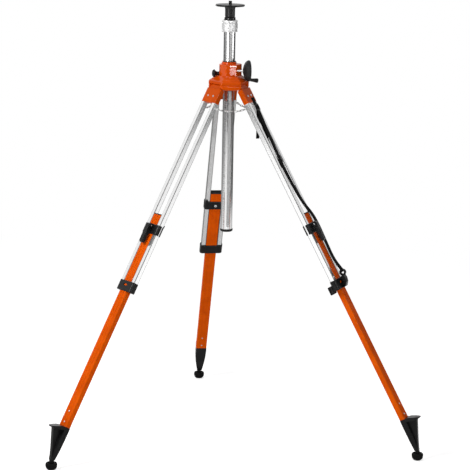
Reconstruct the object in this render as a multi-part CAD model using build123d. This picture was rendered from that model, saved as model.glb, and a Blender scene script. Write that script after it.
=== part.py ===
"""Elevating laser level tripod. Millimetres, +Z up, floor at z 0, column axis on Z, back leg towards +Y."""

import math
import os

from build123d import *

# Head
STUD_RADIUS = 15.875 / 2
STUD_NECK = 7.0
STUD_TOP = 1916.5
PLATE_RADIUS = 62.5
PLATE_TOP = 1901.0
PLATE_BASE = 1893.0
SLEEVE_BASE = 1848.0
INNER_RADIUS = 18.0
INNER_BASE = 1393.0

# Column, collar and rack
COLUMN_RADIUS = 25.0
COLUMN_WALL = 2.5
COLUMN_BASE = 929.0
COLUMN_TOP = 1834.0
COLLAR_BASE = 1785.0
COLLAR_TOP = 1835.0
COLLAR_RADIUS = 33.5
CAP_RADIUS = 27.5
CAP_BASE = 917.0
RACK_SIDES = (-4.0, 10.0)
RACK_TIP = -24.0
RACK_PITCH_LINE = -22.6
RACK_ROOT = -20.6
RACK_BACK = -18.6
TEETH_BELOW = 107
TEETH_ABOVE = 25

# Gear pair
MODULE = 2.0
PINION_TEETH = 12
PITCH_RADIUS = MODULE * PINION_TEETH / 2
TIP_RADIUS = 13.6
ROOT_RADIUS = 10.2
PRESSURE_ANGLE = math.radians(20)
TOOTH_PITCH = math.pi * MODULE
TOOTH_THICKNESS = TOOTH_PITCH / 2 - 0.15

# Housing
CRANK_Y = RACK_PITCH_LINE - PITCH_RADIUS
CRANK_Z = 1621.0
BORE_RADIUS = 28.1
BLOCK_PLAN = [(-40.5, 16), (-40.5, -20), (-21, -50), (25, -50), (54, -5), (54, 12), (34, 34), (-26, 34)]
BLOCK_BASE = 1595.0
BLOCK_TOP = 1648.0
TOP_RING_RADIUS = 31.5
HOUSING_TOP = 1657.0
HOUSING_BASE = 1536.0
SPIDER_TOP = 1599.0
SPIDER_BASE = 1541.0
KNOB_Z = 1607.0

# Crank
SHAFT_RADIUS = 5.0
PINION_X = 3.0
GRIP_ORBIT = 38.0
GRIP_SPLAY = 6.0

# Legs: h runs outward from the leg, t across it and s down it from the hinge pin
AZIMUTH = {"back": 90.0, "left": 210.0, "right": 330.0}
LEG_TILT = 29.32
PIN_REACH = 60.0
PIN_BORES = [(90.0, 1), (210.0, -1), (330.0, 1)]
PIN_HEIGHT = 1556.4
PIN_RADIUS = 4.0
KNUCKLE_RADIUS = 9.0
SHOULDER_TOP = 16.6
SHOULDER_END = 82.0
TUBE_SIZE = 22.0
TUBE_OFFSET = 37.0
TUBE_END = 961.0
CLAMP_TOP = 656.0
CLAMP_END = 700.0
GUIDE_TOP = 920.0
GUIDE_END = 965.0
BRACKET_SIZE = (104.0, 32.0)
BRACKET_CORNER = 12.5
INNER_LEG = (50.0, 24.0)
PLUG_TOP = 607.0
INNER_LEG_TOP = 612.0
INNER_LEG_END = 1583.0
LEVER_PIVOT = (27.0, 668.0)
LEVER_HALF = 10.5
BOOT_REACH = 901.0

# Chain: five links from each clip to the middle of the span
CLIP_H = -8.0
CLIP_S = 100.0
CLIP_T = 53.0
LINK_PITCH = 12.4
LINK_WIRE = 2.6
LINK_COUNT = 5
CHAIN_SAG = 12.0

# Strap on the right leg, as (h, t, s) points with its ends first and last
STRAP_WIDTH = 25.0
STRAP_THICK = 1.8
STRAP_ROUTE = [(14.4, 14, 64), (14.5, 14.2, 132), (14.4, 0, 212), (14.6, -10, 310), (14.5, -14, 420), (14.6, -6, 510),
               (16.5, 12, 580), (22, 28, 622), (25, 30, 676), (21.5, 28, 770), (22, 22, 846), (35, 18, 889)]
RETURN_ROUTE = [(11.8, -9, 150), (10.6, -3, 174), (6, 0, 208), (-3, 1, 252), (-9, 1.5, 300), (-8, 1, 350), (11, -4, 398)]
TAIL_ROUTE = [(11.6, 13, 124), (8.5, 12, 142), (-42, 2, 232)]

os.makedirs("parts", exist_ok=True)
PIECES = {}


def save(name, *solids):
    """Keeps the solids as one named node and writes its file."""
    node = solids[0] if len(solids) == 1 else Compound(children=list(solids))
    PIECES[name] = node
    export_step(node, "parts/" + name + ".step")


def span(x, y, z):
    """A box from three pairs of limits."""
    size = (x[1] - x[0], y[1] - y[0], z[1] - z[0])
    return Pos((x[0] + x[1]) / 2, (y[0] + y[1]) / 2, (z[0] + z[1]) / 2) * Box(*size)


def turned(points):
    """A solid turned about Z from a closed outline of (radius, z) points."""
    return revolve(Plane.XZ * Polygon(*points, align=None), Axis.Z)


def ring(inner, outer, base, top):
    """A plain turned ring."""
    return turned([(inner, base), (outer, base), (outer, top), (inner, top)])


def rod(start, end, radius):
    """A cylinder between two points."""
    a, b = Vector(*start), Vector(*end)
    return extrude(Plane(origin=a, z_dir=b - a) * Circle(radius), (b - a).length)


def along_leg(sketch, s_start, s_end):
    """Extrudes a (t, h) outline down the leg."""
    plane = Plane(origin=(0, 0, -s_start), x_dir=(0, 1, 0), z_dir=(0, 0, -1))
    return extrude(plane * sketch, s_end - s_start)


def across_leg(points, half, corner=0.0):
    """Extrudes an (h, s) outline to both sides of the leg's middle plane."""
    outline = Polygon(*[(h, -s) for h, s in points], align=None)
    if corner:
        outline = fillet(outline.vertices(), corner)
    return extrude(Plane(origin=(0, 0, 0), x_dir=(1, 0, 0), z_dir=(0, -1, 0)) * outline, half, both=True)


def leg_box(h, t, s):
    """A box in leg coordinates."""
    return span(h, t, (-s[1], -s[0]))


def leg_rod(start, end, radius):
    """A cylinder between two (h, t, s) points."""
    return rod((start[0], start[1], -start[2]), (end[0], end[1], -end[2]), radius)


def leg_frame(name):
    """Where a leg's own frame sits in the whole tripod."""
    return Rot(0, 0, AZIMUTH[name]) * Pos(PIN_REACH, 0, PIN_HEIGHT) * Rot(0, -LEG_TILT, 0)


# Head plate, stud, sleeve and the inner column that carries them
plate = turned([(0, PLATE_BASE), (59, PLATE_BASE), (PLATE_RADIUS, PLATE_BASE + 2), (PLATE_RADIUS, PLATE_TOP - 1.2),
                (PLATE_RADIUS - 1.2, PLATE_TOP), (0, PLATE_TOP)])
plate -= rod((0, 0, PLATE_BASE - 1), (0, 0, PLATE_TOP + 1), STUD_NECK + 0.05)
plate -= rod((0, 0, PLATE_TOP - 1.5), (0, 0, PLATE_TOP + 1), STUD_RADIUS + 0.6)
for turn in range(6):
    web = Rot(0, 0, 60 * turn + 30) * Pos(40, 0, PLATE_BASE)
    plate -= web * extrude(SlotOverall(24, 9), 3)
save("head_plate", plate)
stud = turned([(0, 1887), (STUD_NECK, 1887), (STUD_NECK, PLATE_TOP + 1), (STUD_RADIUS, PLATE_TOP + 1),
               (STUD_RADIUS, STUD_TOP - 1.5), (STUD_RADIUS - 1.5, STUD_TOP), (0, STUD_TOP)])
save("instrument_screw", stud)
sleeve = turned([(INNER_RADIUS + 0.05, SLEEVE_BASE), (20.5, SLEEVE_BASE), (21.5, SLEEVE_BASE + 2), (21.5, 1882),
                 (23.5, 1890), (23.5, PLATE_BASE), (8.2, PLATE_BASE), (8.2, 1885), (INNER_RADIUS + 0.05, 1885)])
save("head_sleeve", sleeve)
save("inner_column", ring(INNER_RADIUS - 2, INNER_RADIUS, INNER_BASE, 1884.8))

# Main column, with a slot for the rack in its front
slot_low = CRANK_Z - (TEETH_BELOW + 0.5) * TOOTH_PITCH - 4
slot_high = CRANK_Z + (TEETH_ABOVE + 0.5) * TOOTH_PITCH + 4
tube = ring(COLUMN_RADIUS - COLUMN_WALL, COLUMN_RADIUS, COLUMN_BASE, COLUMN_TOP)
tube -= span(RACK_SIDES, (-30, -10), (slot_low, slot_high))
save("column_tube", tube)


def rack_outline():
    """The rack's side outline as (y, z) points, with a gap facing the pinion's axis."""
    slope = math.tan(PRESSURE_ANGLE)
    tip = TOOTH_THICKNESS / 2 - slope * (RACK_PITCH_LINE - RACK_TIP)
    root = TOOTH_THICKNESS / 2 + slope * (RACK_ROOT - RACK_PITCH_LINE)
    points = [(RACK_BACK, slot_low), (RACK_ROOT, slot_low)]
    for k in range(-TEETH_BELOW, TEETH_ABOVE):
        middle = CRANK_Z + (k + 0.5) * TOOTH_PITCH
        points += [(RACK_ROOT, middle - root), (RACK_TIP, middle - tip)]
        points += [(RACK_TIP, middle + tip), (RACK_ROOT, middle + root)]
    return points + [(RACK_ROOT, slot_high), (RACK_BACK, slot_high)]


rack_plane = Plane(origin=(RACK_SIDES[0], 0, 0), x_dir=(0, 1, 0), z_dir=(1, 0, 0))
rack = extrude(rack_plane * Polygon(*rack_outline(), align=None), RACK_SIDES[1] - RACK_SIDES[0], dir=(1, 0, 0))
rack &= rod((0, 0, COLUMN_BASE), (0, 0, COLUMN_TOP), COLUMN_RADIUS - 0.1)
save("column_rack", rack)
cap = turned([(0, CAP_BASE), (22, CAP_BASE), (26, CAP_BASE + 2), (CAP_RADIUS, CAP_BASE + 5), (CAP_RADIUS, COLUMN_BASE),
              (22.4, COLUMN_BASE), (22.4, 939), (19, 939), (19, 925), (0, 925)])
save("column_cap", cap)
top_ring = turned([(INNER_RADIUS + 0.06, 1795), (22.4, 1795), (22.4, COLLAR_TOP), (24, COLLAR_TOP), (24, 1846),
                   (22, SLEEVE_BASE), (INNER_RADIUS + 0.06, SLEEVE_BASE)])
save("column_top_ring", top_ring)
collar = turned([(COLUMN_RADIUS + 0.06, COLLAR_BASE), (31.5, COLLAR_BASE), (COLLAR_RADIUS, COLLAR_BASE + 2),
                 (COLLAR_RADIUS, 1790), (31, 1791), (31, 1794), (COLLAR_RADIUS, 1795), (COLLAR_RADIUS, 1821),
                 (31, 1822), (31, 1825), (COLLAR_RADIUS, 1826), (COLLAR_RADIUS, COLLAR_TOP - 2),
                 (31.5, COLLAR_TOP), (COLUMN_RADIUS + 0.06, COLLAR_TOP)])
save("clamp_collar", collar)


def slab(azimuth, outline):
    """A broad block with one (reach, z) outline, facing an azimuth."""
    return Rot(0, 0, azimuth) * extrude(Plane.XZ * outline, 150, both=True)


def spider():
    """Six-sided casting: three faces take the legs and three stepped walls close the gaps between them."""
    face = Polygon((-150, SPIDER_TOP), (47, SPIDER_TOP), (75, 1576), (75, SPIDER_BASE), (-150, SPIDER_BASE), align=None)
    face = fillet(face.vertices().sort_by(Axis.X)[-2:].sort_by(Axis.Y)[:1], 14.5)
    wall = Polygon((-150, SPIDER_TOP), (50, SPIDER_TOP), (74, 1580), (74, 1576.5), (77, 1574), (77, 1563), (74.5, 1560.5),
                   (74.5, 1557.5), (76.5, 1555.5), (76.5, 1543.5), (74, SPIDER_BASE), (-150, SPIDER_BASE), align=None)
    body = slab(90, face)
    for azimuth in (210, 330):
        body &= slab(azimuth, face)
    for azimuth in (30, 150, 270):
        body &= slab(azimuth, wall)
    corners = []
    for azimuth in AZIMUTH.values():
        for side in (-1, 1):
            corners.append(Vector(75, side * 45.6).rotate(Axis.Z, azimuth))
    plan = fillet(Polygon(*corners, align=None).vertices(), 5)
    return body & extrude(Pos(0, 0, SPIDER_BASE) * plan, SPIDER_TOP - SPIDER_BASE)


# Cast housing: gearbox block and six-sided spider with three hinge slots, round one bore
plan = Polygon(*BLOCK_PLAN, align=None)
front_left = plan.vertices().sort_by_distance(BLOCK_PLAN[2])[0]
plan = fillet([corner for corner in plan.vertices() if corner != front_left], 6)
plan = fillet(plan.vertices().sort_by_distance(BLOCK_PLAN[2])[:1], 11)
housing = extrude(Pos(0, 0, BLOCK_BASE) * plan, BLOCK_TOP - BLOCK_BASE)
housing = fillet(housing.faces().sort_by(Axis.Z)[-1].edges(), 4)
housing = chamfer(housing.faces().sort_by(Axis.Z)[0].edges(), 2.5)
gear_belly = fillet(Polygon((2, -20), (10, -47), (24, -47), (50, -6), (50, 10), (30, 28), align=None).vertices(), 4)
housing += extrude(Pos(0, 0, 1574) * gear_belly, BLOCK_BASE - 1574 + 4)
housing += turned([(20, HOUSING_BASE), (42.5, HOUSING_BASE), (44.5, HOUSING_BASE + 2), (44.5, BLOCK_BASE + 4),
                   (TOP_RING_RADIUS, BLOCK_BASE + 4), (TOP_RING_RADIUS, 1655.5), (30, HOUSING_TOP), (20, HOUSING_TOP)])
housing += rod((-20, 0, KNOB_Z), (-43, 0, KNOB_Z), 10)
housing += spider()
for azimuth, open_side in PIN_BORES:
    housing -= Rot(0, 0, azimuth) * span((45, 90), (-35.7, 35.7), (1500, PIN_HEIGHT + KNUCKLE_RADIUS + 0.7))
    bore = rod((PIN_REACH, -43 * open_side, PIN_HEIGHT), (PIN_REACH, 70 * open_side, PIN_HEIGHT), PIN_RADIUS + 0.05)
    housing -= Rot(0, 0, azimuth) * bore
housing -= rod((0, 0, 1500), (0, 0, 1700), BORE_RADIUS)
housing -= rod((PINION_X - 7, CRANK_Y, CRANK_Z), (PINION_X + 9, CRANK_Y, CRANK_Z), 14.4)
housing -= rod((-21, CRANK_Y, CRANK_Z), (60, CRANK_Y, CRANK_Z), 8.05)
housing -= span((-1, 22), (-60, -44), (1604, 1632))
housing -= rod((-20, 0, KNOB_Z), (-33, 0, KNOB_Z), 8.05)
housing -= rod((-30, 0, KNOB_Z), (-50, 0, KNOB_Z), 5.06)
housing -= rod((-43, 0, KNOB_Z), (-90, 0, KNOB_Z), 18.5)
save("gear_housing", housing)

cover = extrude(Plane.XZ * Pos(10.5, 1618.5) * RectangleRounded(28, 36, 3), 2.4)
cover = Pos(0, -50, 0) * cover
cover = chamfer(cover.faces().sort_by(Axis.Y)[0].edges(), 0.7)
drip_lip = Polygon((-50, 1643.6), (-50.6, 1643.6), (-55, 1639.2), (-55, 1638), (-50, 1635.5), align=None)
cover += Pos(10.5, 0, 0) * extrude(Plane.YZ * drip_lip, 14, both=True)
save("pinion_cover", cover)
upper_bush = turned([(COLUMN_RADIUS + 0.08, 1637), (28.05, 1637), (28.05, HOUSING_TOP), (29.5, HOUSING_TOP),
                     (29.5, 1659), (28.5, 1660), (COLUMN_RADIUS + 0.08, 1660)])
lower_bush = ring(COLUMN_RADIUS + 0.08, 28.05, HOUSING_BASE + 1, 1560)
left_bush = rod((-21, CRANK_Y, CRANK_Z), (PINION_X - 8, CRANK_Y, CRANK_Z), 8)
right_bush = rod((PINION_X + 10, CRANK_Y, CRANK_Z), (29, CRANK_Y, CRANK_Z), 8)
shaft_hole = rod((-30, CRANK_Y, CRANK_Z), (70, CRANK_Y, CRANK_Z), SHAFT_RADIUS + 0.04)
save("bearing_bushes", upper_bush, lower_bush, left_bush - shaft_hole, right_bush - shaft_hole)
bolts = []
for azimuth, open_side in PIN_BORES:
    bolt = rod((PIN_REACH, -42.5 * open_side, PIN_HEIGHT), (PIN_REACH, 46 * open_side, PIN_HEIGHT), PIN_RADIUS)
    bolt -= span((PIN_REACH - 0.6, PIN_REACH + 0.6), sorted((44.5 * open_side, 60 * open_side)), (1550, 1563))
    bolts.append(Rot(0, 0, azimuth) * bolt)
save("hinge_bolts", *bolts)

# Brake: a bell knob on a screw, and the shoe in front of it
shoe = rod((-20, 0, KNOB_Z), (-31, 0, KNOB_Z), 8) - rod((0, 0, 1590), (0, 0, 1625), COLUMN_RADIUS + 0.35)
save("brake_shoe", shoe)
bell = turned([(0, -31.3), (5, -31.3), (5, -43.3), (7.5, -43.3), (7, -49), (8.5, -55), (13, -60.5), (16.4, -62.5),
               (17, -64.5), (16.2, -67.5), (12.5, -71.5), (7, -73.2), (0, -73.5)])
save("clamp_knob", Pos(0, 0, KNOB_Z) * Rot(0, 90, 0) * bell)

# Crank: shaft, gear, dished wheel and a grip that turns on its own bolt
save("crank_shaft", rod((-20.5, CRANK_Y, CRANK_Z), (72, CRANK_Y, CRANK_Z), SHAFT_RADIUS))


def involute(radius):
    """How far an involute flank has turned at a radius."""
    base = PITCH_RADIUS * math.cos(PRESSURE_ANGLE)
    angle = math.acos(min(1.0, base / radius))
    return math.tan(angle) - angle


def pinion_outline():
    """The gear's outline, with one tooth pointing at the rack."""
    middle = TOOTH_THICKNESS / 2 / PITCH_RADIUS + involute(PITCH_RADIUS)
    points = []
    for k in range(PINION_TEETH):
        centre = 2 * math.pi * k / PINION_TEETH
        flank = [(r, middle - involute(r)) for r in (ROOT_RADIUS, 11.4, PITCH_RADIUS, 12.8, TIP_RADIUS)]
        flank[0] = (ROOT_RADIUS, flank[1][1] + 0.015)
        points += [(r, centre - half) for r, half in flank]
        points += [(r, centre + half) for r, half in reversed(flank)]
    return [(r * math.cos(a), r * math.sin(a)) for r, a in points]


pinion = extrude(Plane.YZ * Polygon(*pinion_outline(), align=None), 5.5, both=True)
pinion += rod((5, 0, 0), (8.5, 0, 0), 9)
pinion -= rod((-20, 0, 0), (20, 0, 0), SHAFT_RADIUS + 0.03)
save("drive_pinion", Pos(PINION_X, CRANK_Y, CRANK_Z) * pinion)
dish = turned([(SHAFT_RADIUS + 0.03, 55), (9.5, 55), (13, 56.3), (22, 59), (31, 62.5), (37, 66), (42, 71), (45, 76.5),
               (45.6, 80), (45, 83.5), (43, 85.8), (40, 86.8), (30, 87.3), (15, 88.6), (9, 89.2), (8, 88),
               (SHAFT_RADIUS + 0.03, 88)])
crank_frame = Pos(0, CRANK_Y, CRANK_Z) * Rot(0, 90, 0)
grip_frame = Pos(84, CRANK_Y, CRANK_Z - GRIP_ORBIT) * Rot(0, 90 + GRIP_SPLAY, 0)
wheel = crank_frame * dish - grip_frame * rod((0, 0, -20), (0, 0, 20), 3.05)
save("handwheel", wheel)
grip_bolt = turned([(0, -4), (3, -4), (3, 35.2), (5, 35.2), (5, 37.5), (3.5, 38.5), (0, 38.5)])
save("grip_bolt", grip_frame * grip_bolt)
grip = turned([(3.06, 4.2), (6.2, 4.2), (7, 6), (6.8, 10), (7.6, 18), (9.2, 28), (9.75, 33), (9, 36.5), (7, 38),
               (5.3, 38), (5.3, 34.9), (3.06, 34.9)])
save("crank_grip", grip_frame * grip)


def shoulder():
    """Casting with a hinge knuckle above, a body across both tubes and a spigot into each."""
    body = along_leg(RectangleRounded(94, 25, 5), SHOULDER_TOP, SHOULDER_END)
    body = chamfer(body.faces().sort_by(Axis.Z)[-1].edges(), 2)
    knuckle = leg_rod((0, -35, 0), (0, 35, 0), KNUCKLE_RADIUS)
    body += knuckle + leg_box((-KNUCKLE_RADIUS, KNUCKLE_RADIUS), (-35, 35), (0, SHOULDER_TOP + 4))
    for side in (-1, 1):
        spigot = Pos(side * TUBE_OFFSET, 0) * RectangleRounded(17.7, 17.7, 1)
        body += along_leg(spigot, SHOULDER_END - 1, SHOULDER_END + 32)
    body -= leg_rod((0, -50, 0), (0, 50, 0), PIN_RADIUS + 0.06)
    body -= leg_box((-20, -6), (-22, 22), (34, 90))
    return body


def leg_tubes():
    """The two square tubes."""
    wall = RectangleRounded(TUBE_SIZE, TUBE_SIZE, 3) - RectangleRounded(TUBE_SIZE - 4, TUBE_SIZE - 4, 1)
    return [along_leg(Pos(side * TUBE_OFFSET, 0) * wall, SHOULDER_END, TUBE_END) for side in (-1, 1)]


def bracket_outline():
    """The outside of clamp and guide as a (t, h) outline."""
    return RectangleRounded(BRACKET_SIZE[0], BRACKET_SIZE[1], BRACKET_CORNER)


def tube_seat():
    """The room that both tubes and the inner leg take in a bracket."""
    both = 2 * TUBE_OFFSET + TUBE_SIZE + 0.1
    return RectangleRounded(both, TUBE_SIZE + 0.1, 3) + RectangleRounded(INNER_LEG[0] + 0.8, INNER_LEG[1] + 0.8, 2)


def clamp_half(h_low, h_high):
    """One half of the upper clamp."""
    outline = (bracket_outline() - tube_seat()) & (Pos(0, (h_low + h_high) / 2) * Rectangle(120, h_high - h_low))
    half = along_leg(outline, CLAMP_TOP, CLAMP_END)
    rims = [e for e in half.edges().filter_by(Axis.Y) if abs(e.center().X) > BRACKET_SIZE[1] / 2 - 1]
    return chamfer(rims, 1.5)


def clamp_outer():
    """Outer clamp half with the two ears that hold the lever's pin."""
    half = clamp_half(0.5, 20)
    pivot_h, pivot_s = LEVER_PIVOT
    for side in (-1, 1):
        near, far = sorted((side * 11, side * 15))
        ear = leg_rod((pivot_h, near, pivot_s), (pivot_h, far, pivot_s), 8)
        ear += leg_box((15.5, pivot_h), (near, far), (pivot_s - 8, pivot_s + 8))
        ear -= leg_rod((pivot_h, -20, pivot_s), (pivot_h, 20, pivot_s), 3.05)
        half += ear
    return half


def clamp_inner():
    """Inner clamp half with a raised pad and a small lug above it."""
    half = clamp_half(-20, -7.5)
    half += along_leg(Pos(0, -16.4) * RectangleRounded(34, 2.4, 1), CLAMP_TOP + 5, CLAMP_END - 5)
    half += leg_box((-15.6, -12.9), (36, 46), (CLAMP_TOP - 9, CLAMP_TOP + 2))
    half -= leg_rod((-13, 0, 678), (-25, 0, 678), 3.05)
    return half


def clamp_lever():
    """Quick lever: a round cam about its pin and a hollow arm that tapers towards a rounded tip."""
    pivot_h, pivot_s = LEVER_PIVOT
    cam = leg_rod((pivot_h, -LEVER_HALF, pivot_s), (pivot_h, LEVER_HALF, pivot_s), 10.7)
    arm = [(pivot_h - 6, pivot_s), (pivot_h + 10.7, pivot_s), (pivot_h + 11.5, 700), (pivot_h + 10, 742),
           (pivot_h + 6, 748), (pivot_h - 2, 748), (pivot_h - 6.5, 740), (pivot_h - 7, 684)]
    lever = cam + across_leg(arm, LEVER_HALF)
    lever -= leg_box((pivot_h - 12, pivot_h + 6), (-7, 7), (684, 738))
    lever = fillet(lever.edges().filter_by(Axis.Z).group_by(Axis.X)[-1], 2)
    lever -= leg_rod((pivot_h, -30, pivot_s), (pivot_h, 30, pivot_s), 3.06)
    return lever


def leg_guide():
    """Lower bracket that closes the tubes and guides the inner leg, with a lip and an oval window."""
    guide = along_leg(bracket_outline(), GUIDE_TOP, GUIDE_END)
    guide = chamfer(guide.faces().sort_by(Axis.Z)[-1].edges(), 1.2)
    guide -= along_leg(tube_seat(), GUIDE_TOP - 1, TUBE_END)
    guide -= along_leg(RectangleRounded(INNER_LEG[0] + 0.8, INNER_LEG[1] + 0.8, 2), TUBE_END - 1, GUIDE_END + 1)
    oval = extrude(Plane(origin=(20, 0, -938), x_dir=(0, 1, 0), z_dir=(-1, 0, 0)) * SlotOverall(24, 9), 10)
    return guide - oval


def leg_bolts():
    """Shoulder screws, lever pin, clamp screw and the two pins that hold the chain."""
    pivot_h, pivot_s = LEVER_PIVOT
    pieces = [leg_rod((pivot_h, -16.5, pivot_s), (pivot_h, 16.5, pivot_s), 3)]
    pieces.append(leg_rod((-14, 0, 678), (-17.7, 0, 678), 3) + leg_rod((-17.7, 0, 678), (-20.2, 0, 678), 6.5))
    for side in (-1, 1):
        pieces.append(leg_rod((12.5, side * 17.5, 52.6), (15, side * 17.5, 52.6), 4.5))
        pin = leg_rod((CLIP_H, side * 48, CLIP_S), (CLIP_H, side * 58, CLIP_S), 1.5)
        pin += leg_rod((CLIP_H, side * 57.5, CLIP_S), (CLIP_H, side * 59, CLIP_S), 3)
        pieces.append(pin)
    return pieces


def inner_leg():
    """Sliding profile: a rounded tube with two shallow grooves on each broad face."""
    wide, deep = INNER_LEG
    section = RectangleRounded(wide, deep, 3)
    for t in (-9, 9):
        for h in (-deep / 2, deep / 2):
            section -= Pos(t, h) * Rectangle(2.4, 1.6)
    section -= RectangleRounded(wide - 5, deep - 5, 1)
    return along_leg(section, INNER_LEG_TOP, INNER_LEG_END)


def leg_plug():
    """Black plug in the upper end of the inner leg."""
    plug = along_leg(RectangleRounded(INNER_LEG[0], INNER_LEG[1], 3), PLUG_TOP, INNER_LEG_TOP)
    plug = chamfer(plug.faces().sort_by(Axis.Z)[-1].edges(), 1.5)
    return plug + along_leg(RectangleRounded(44.8, 18.8, 1), INNER_LEG_TOP - 1, INNER_LEG_TOP + 20)


def foot():
    """Black foot: a bullet taper, an outward fin below a tread lip, and a plug in the inner leg."""
    side = [(-12, INNER_LEG_END), (12, INNER_LEG_END), (11, 1640), (6, 1690), (-1, 1731), (-8, 1739), (-17, 1727),
            (-13.5, 1650)]
    front = [(-25, -INNER_LEG_END), (-25.4, -1604), (-24, -1640), (-20, -1680), (-15, -1710), (-9, -1740), (9, -1740),
             (15, -1710), (20, -1680), (24, -1640), (25.4, -1604), (25, -INNER_LEG_END)]
    taper = Plane(origin=(-60, 0, 0), x_dir=(0, 1, 0), z_dir=(1, 0, 0)) * Polygon(*front, align=None)
    body = across_leg(side, 30) & extrude(taper, 160)
    body += across_leg([(0, 1590), (30, 1592), (56, 1606), (53, 1612), (18, 1686), (-1, 1731), (-8, 1735)], 8)
    lip_plan = [(-5, 25), (12, 25), (50, 20), (70, 12), (70, -12), (50, -20), (12, -25), (-5, -25)]
    lip = across_leg([(-5, INNER_LEG_END), (12, INNER_LEG_END), (30, 1586), (62, 1597.5), (71, 1601.5), (69, 1605),
                      (54, 1607), (12, 1598), (-5, 1598)], 30)
    body += lip & Pos(0, 0, -1620) * extrude(Polygon(*lip_plan, align=None), 60, dir=(0, 0, 1))
    body += along_leg(RectangleRounded(44.8, 18.8, 1), INNER_LEG_END - 30, INNER_LEG_END + 1)
    return body


def boot():
    """Rubber boot with a domed base and a dished top."""
    return turned([(0, 0), (9, 0), (16, 2), (21.5, 8), (24.3, 16), (25, 23), (24, 28.5), (21, 32), (18.5, 31.5),
                   (14.5, 27), (9.06, 26), (9.06, 12), (0, 12)])


def link():
    """One chain link as a flat loop with bent corners, lying along X."""
    length, width = LINK_PITCH + 0.3, 4.0
    outer = chamfer(Rectangle(length + 2 * LINK_WIRE, width + 2 * LINK_WIRE).vertices(), 2.4)
    return extrude(outer - Rectangle(length, width), LINK_WIRE / 2, both=True)


def half_chain(name, side):
    """Links that hang on a parabola from a clip to the middle plane of the span."""
    tilt = math.radians(LEG_TILT)
    reach = PIN_REACH + CLIP_S * math.sin(tilt) + CLIP_H * math.cos(tilt)
    height = PIN_HEIGHT - CLIP_S * math.cos(tilt) + CLIP_H * math.sin(tilt)
    half_span = reach * math.sin(math.radians(60)) - CLIP_T / 2
    start = Rot(0, 0, AZIMUTH[name]) * Pos(reach, side * CLIP_T, height)
    heading = start * Rot(0, 0, side * 150)
    links = []
    for k in range(LINK_COUNT):
        run = (3.6 + LINK_PITCH * k) * 0.975
        drop = CHAIN_SAG * (1 - (1 - run / half_span) ** 2)
        slope = math.degrees(math.atan(2 * CHAIN_SAG / half_span * (1 - run / half_span)))
        links.append(heading * Pos(run, 0, -drop) * Rot(0, slope, 0) * Rot(90 + 90 * (k % 2), 0, 0) * link())
    return links


for name in AZIMUTH:
    frame = leg_frame(name)
    save("shoulder_" + name, frame * shoulder())
    save("leg_tubes_" + name, *[frame * tube for tube in leg_tubes()])
    save("clamp_outer_" + name, frame * clamp_outer())
    save("clamp_inner_" + name, frame * clamp_inner())
    save("clamp_lever_" + name, frame * clamp_lever())
    save("leg_guide_" + name, frame * leg_guide())
    save("leg_bolts_" + name, *[frame * piece for piece in leg_bolts()])
    save("inner_leg_" + name, frame * inner_leg())
    save("leg_plug_" + name, frame * leg_plug())
    base = Rot(0, 0, AZIMUTH[name]) * Pos(BOOT_REACH, 0, 0)
    save("foot_" + name, frame * foot() + base * rod((0, 0, 12.4), (0, 0, 44), 9))
    save("boot_" + name, base * boot())
    save("chain_" + name, *half_chain(name, -1), *half_chain(name, 1))


def band(points, width):
    """A flat band of given width along straight runs and tangent arcs; prints the arc radii."""
    corners = [Vector(*p) for p in points]
    radii = []
    for a, b, c in zip(corners, corners[1:], corners[2:]):
        half_turn = math.radians((b - a).get_angle(c - b)) / 2
        radii.append(min(900.0, 0.45 * min((b - a).length, (c - b).length) / math.tan(half_turn)))
    print("strap radii", [round(r, 1) for r in radii])
    return trace(FilletPolyline(*corners, radius=radii), width)


def ribbon(route):
    """A strap that is thin in the (h, s) view and as wide as the webbing in the (t, s) view."""
    side = band([(h, -s) for h, t, s in route], STRAP_THICK)
    front = band([(t, -s) for h, t, s in route], STRAP_WIDTH)
    thin = extrude(Plane(origin=(0, 0, 0), x_dir=(1, 0, 0), z_dir=(0, -1, 0)) * side, 70, both=True)
    wide = extrude(Plane(origin=(-60, 0, 0), x_dir=(0, 1, 0), z_dir=(1, 0, 0)) * front, 140)
    return thin & wide


# Carry strap with its slide buckle, ring and keeper on the right leg
frame = leg_frame("right")
save("carry_strap", *[frame * ribbon(route) for route in (STRAP_ROUTE, RETURN_ROUTE, TAIL_ROUTE)])
buckle = leg_box((15.6, 18.4), (-2.5, 30.5), (97, 125))
buckle -= leg_box((10, 30), (1, 27), (100.5, 108)) + leg_box((10, 30), (1, 27), (112.5, 121.5))
save("strap_buckle", frame * fillet(buckle.edges().filter_by(Axis.X), 1))
lug = across_leg([(16.1, 921), (28, 917), (38, 919), (39.5, 932), (36, 950), (24, 966), (16.1, 966)], 12, corner=1.5)
ring_face = Pos(35, -906) * (Circle(14.5) - Circle(6.5))
lug += extrude(Plane(origin=(0, 0, 0), x_dir=(1, 0, 0), z_dir=(0, -1, 0)) * ring_face, 5, both=True)
save("strap_ring", frame * Pos(0, 18, 0) * lug)
keeper = leg_box((-36, -16.1), (-45, -15), (938, 974))
keeper = fillet(keeper.edges().filter_by(Axis.Y), 3)
keeper -= leg_box((-32, -21), (-60, 0), (946, 966))
save("strap_keeper", frame * keeper)
print(len(PIECES), "nodes")
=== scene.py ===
"""Looks of the elevating laser level tripod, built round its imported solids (metres, floor at z 0)."""

import math

import bmesh
import bpy
import numpy as np
from mathutils import Matrix


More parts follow.
